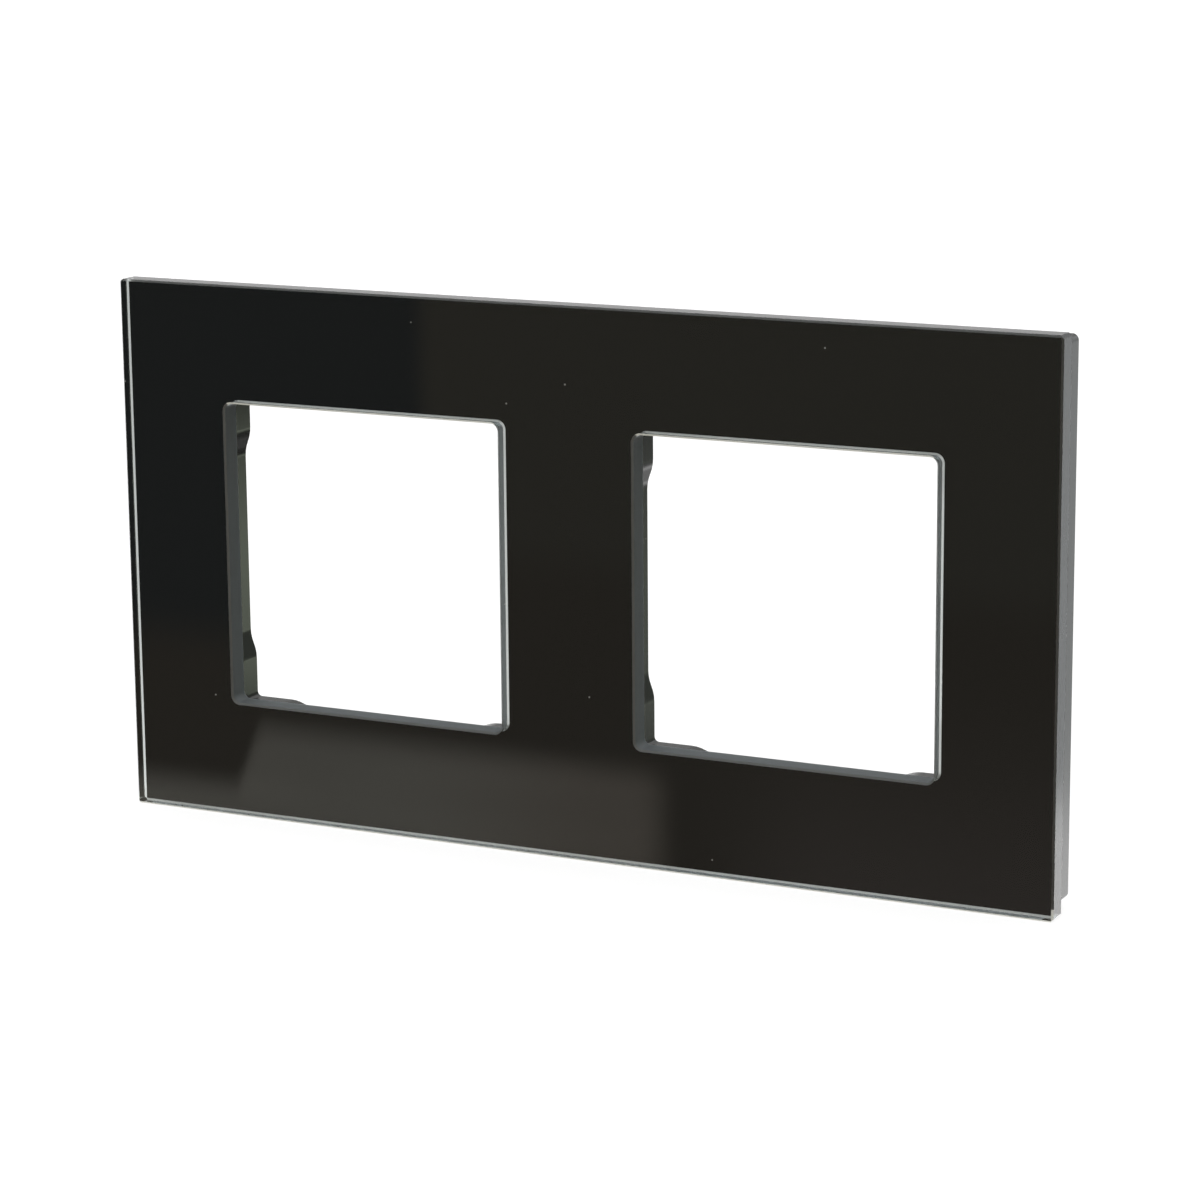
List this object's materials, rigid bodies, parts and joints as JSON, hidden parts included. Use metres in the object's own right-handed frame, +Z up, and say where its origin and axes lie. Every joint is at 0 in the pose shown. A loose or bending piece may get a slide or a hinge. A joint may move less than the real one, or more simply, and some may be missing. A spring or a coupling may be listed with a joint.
{
  "type": "switch cover frame",
  "caption": "Flat rectangular cover frame of clear glass enamelled black behind, with square openings in a row for flush wall switches, taped to a moulded carrier that lies flat on the wall.",
  "frame": {"origin": "centre of the carrier's rear face, in the plane of the wall, at the middle of the bar between the openings", "axes": "+X along the row of openings, +Y into the wall so that the visible glass faces -Y, +Z up"},
  "size_m": [0.1566, 0.0094, 0.0856],
  "materials": {
    "clear_glass": "polished faces with satin-ground edges",
    "back_enamel": "black enamel, gloss where it meets the glass",
    "adhesive_tape": "matt foam tape",
    "dark_plastic": "dark grey moulding, fine satin texture"
  },
  "bodies": {
    "root": {"glass_pane": "clear_glass", "black_enamel": "back_enamel", "tape_top": "adhesive_tape", "tape_bottom": "adhesive_tape", "tape_left": "adhesive_tape", "tape_centre": "adhesive_tape", "tape_right": "adhesive_tape", "carrier": "dark_plastic"}
  },
  "joints": []
}
